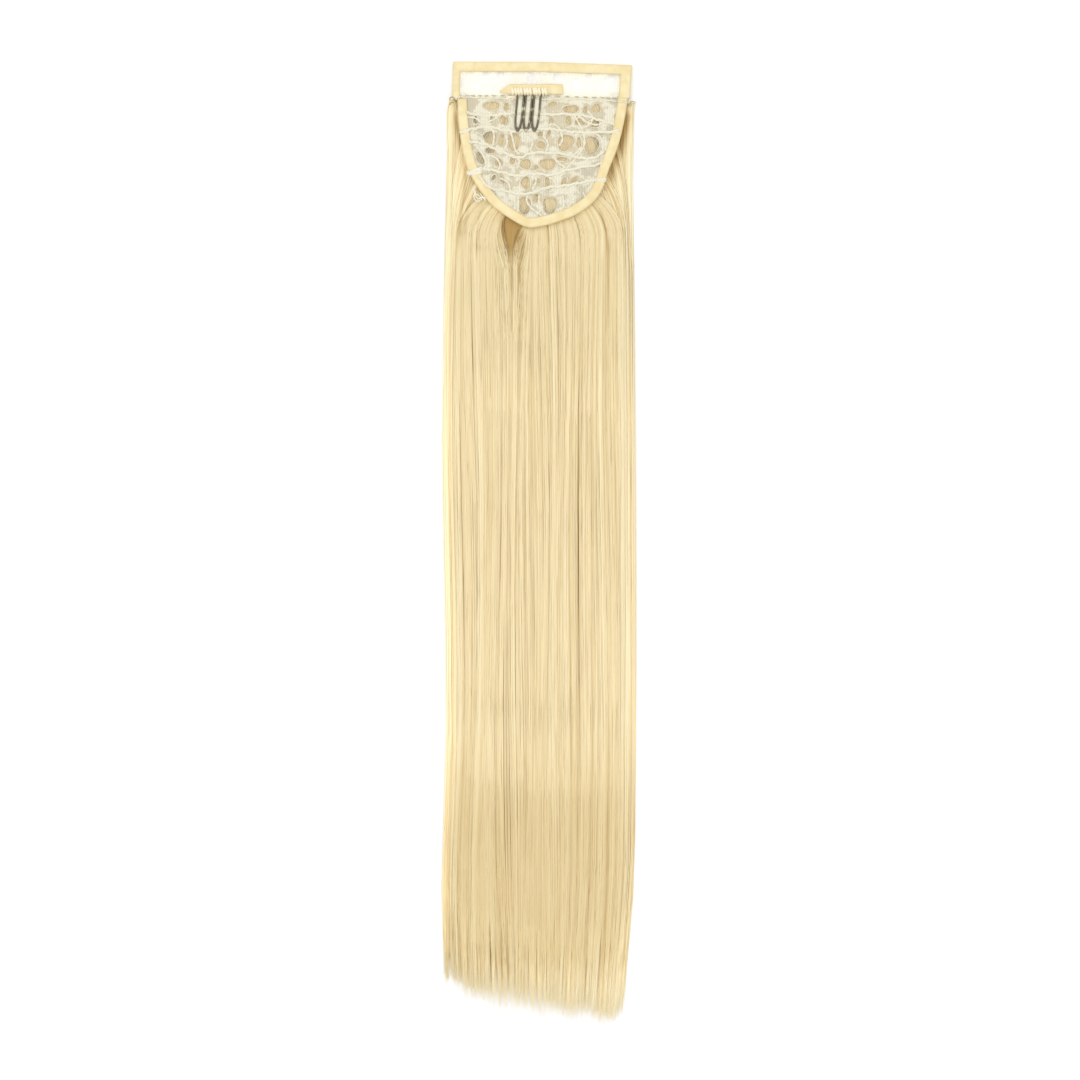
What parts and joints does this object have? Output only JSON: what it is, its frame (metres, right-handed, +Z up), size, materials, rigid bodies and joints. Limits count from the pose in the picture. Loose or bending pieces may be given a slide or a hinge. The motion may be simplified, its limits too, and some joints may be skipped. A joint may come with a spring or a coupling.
{
  "type": "ponytail hairpiece",
  "caption": "Long straight pale blonde ponytail hairpiece lying flat, with a taped lace base, a see-through flap and a wire comb.",
  "frame": {"origin": "middle of the hairpiece's box, on the surface that it lies on", "axes": "+X across the hair, +Y from the hair's tips to the flap, +Z up from the surface, towards the lace side"},
  "size_m": [0.1216, 0.5998, 0.0129],
  "materials": {
    "hair": "straight pale blonde fibre hair with a soft sheen",
    "lace": "sheer off-white lace",
    "ribbon": "matt cream woven ribbon",
    "wire": "dull bronzed steel wire"
  },
  "bodies": {
    "root": {"hair_weft_1": "hair", "hair_weft_2": "hair", "hair_weft_3": "hair", "hair_weft_4": "hair", "hair_weft_5": "hair", "hair_weft_6": "hair", "lace_net": "lace", "base_tape": "ribbon", "flap_tape": "ribbon", "comb": "wire", "comb_ribbon": "ribbon"}
  },
  "joints": []
}
